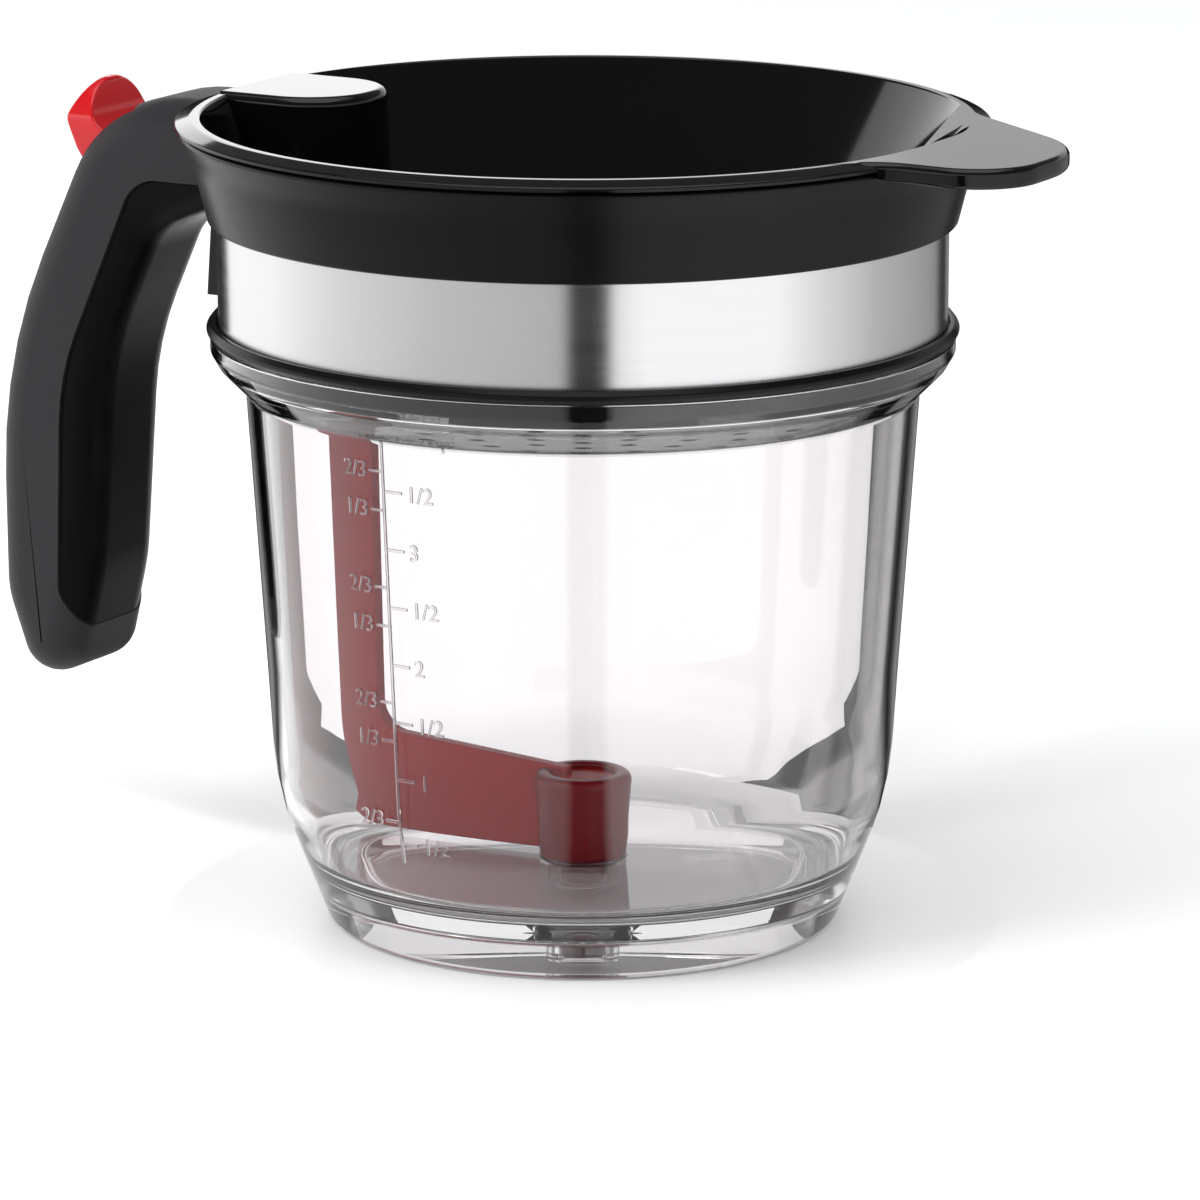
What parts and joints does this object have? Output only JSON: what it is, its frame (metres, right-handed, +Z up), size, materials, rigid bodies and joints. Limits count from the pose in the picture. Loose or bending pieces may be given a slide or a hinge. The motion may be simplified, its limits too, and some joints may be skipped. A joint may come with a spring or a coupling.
{
  "type": "gravy fat separator",
  "caption": "Clear measuring jug with a lift-off strainer funnel and a thumb lever in the handle that lifts a plug from an outlet in the floor.",
  "frame": {"origin": "centre of the foot ring, on the table", "axes": "+Z up along the jug's axis, -X towards the handle and the thumb lever, +X towards the thumb tab of the strainer lid"},
  "size_m": [0.2268, 0.1534, 0.1553],
  "materials": {
    "clear_plastic": "clear, polished",
    "black_satin": "satin black",
    "black_gloss": "glossy black",
    "soft_touch": "soft-touch dark grey",
    "red_plastic": "glossy red",
    "red_silicone": "soft dark red",
    "seal_silicone": "translucent white",
    "steel": "brushed",
    "hardware_steel": "plain"
  },
  "bodies": {
    "vessel": {"jug": "clear_plastic", "collar": "black_satin", "collar_seal": "seal_silicone", "steel_band": "steel", "band_ring": "black_satin", "handle_core": "black_satin", "handle_grip": "soft_touch", "handle_screws": "hardware_steel", "lever_pin": "hardware_steel", "return_spring": "hardware_steel"},
    "lever": {"lever": "red_plastic"},
    "lift": {"lift_arm": "red_plastic", "plug": "red_silicone"},
    "lid": {"strainer_lid": "black_gloss"}
  },
  "joints": [
    {"name": "lever_pivot", "type": "hinge", "parent": "vessel", "child": "lever", "pos_m": [-0.086, 0, 0.1435], "axis": [0, -1, 0], "range_deg": [0, 10.8], "stiffness_Nm_per_rad": 0.3, "springref_deg": -5.73, "deforming": ["return_spring"]},
    {"name": "arm_lift", "type": "slide", "parent": "vessel", "child": "lift", "axis": [0, 0, 1], "range_m": [0, 0.0063]},
    {"name": "lid_lift", "type": "slide", "parent": "vessel", "child": "lid", "axis": [0, 0, 1], "range_m": [0, 0.06]}
  ],
  "couplings": [
    {"joint": "arm_lift", "follows": "lever_pivot", "m_per_rad": 0.0331}
  ]
}
